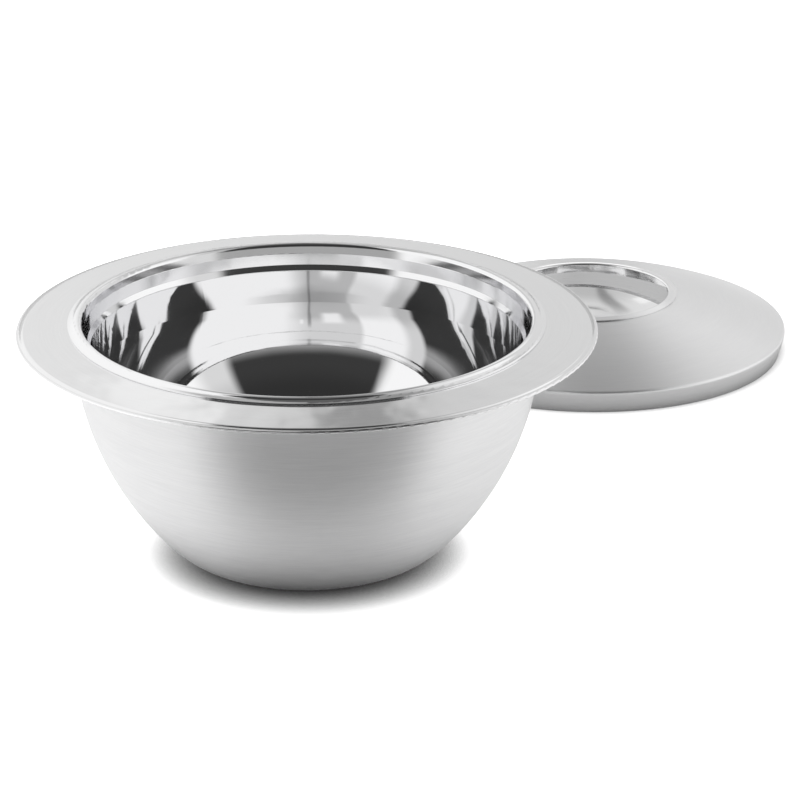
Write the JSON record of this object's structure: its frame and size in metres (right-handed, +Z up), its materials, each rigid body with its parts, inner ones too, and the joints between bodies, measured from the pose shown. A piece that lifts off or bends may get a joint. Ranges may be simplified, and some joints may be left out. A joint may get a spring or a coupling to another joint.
{
  "type": "insulated casserole",
  "caption": "Double-walled steel serving bowl with a wide sloping flange, keeps flatbreads warm; domed lift-off lid with a recessed strap handle lies beside it.",
  "frame": {"origin": "centre of the bowl's flat base, on the surface it stands on", "axes": "+Z up along the bowl's axis, -Y towards the viewer, +X to the viewer's right; the lid lies towards +X and +Y"},
  "size_m": [0.3746, 0.5011, 0.1134],
  "materials": {
    "brushed_shell": "fine circumferential brushing",
    "satin_steel": "satin, spun",
    "polished_steel": "polished with a soft haze",
    "mirror_steel": "mirror polished",
    "foam": "rigid closed-cell foam, unseen",
    "plug_plastic": "moulded, matt"
  },
  "bodies": {
    "bowl": {"outer_shell": "brushed_shell", "inner_bowl": "mirror_steel", "rim_flange": "polished_steel", "bowl_insulation": "foam", "fill_plug": "plug_plastic"},
    "lid": {"lid_top": "satin_steel", "lid_pan": "satin_steel", "lid_insulation": "foam", "handle_cup": "mirror_steel", "handle_strap": "satin_steel", "handle_rivets": "polished_steel"}
  },
  "joints": [
    {"name": "lid_lift", "type": "slide", "parent": "bowl", "child": "lid", "axis": [0, 0, 1], "range_m": [0, 0.15]}
  ]
}
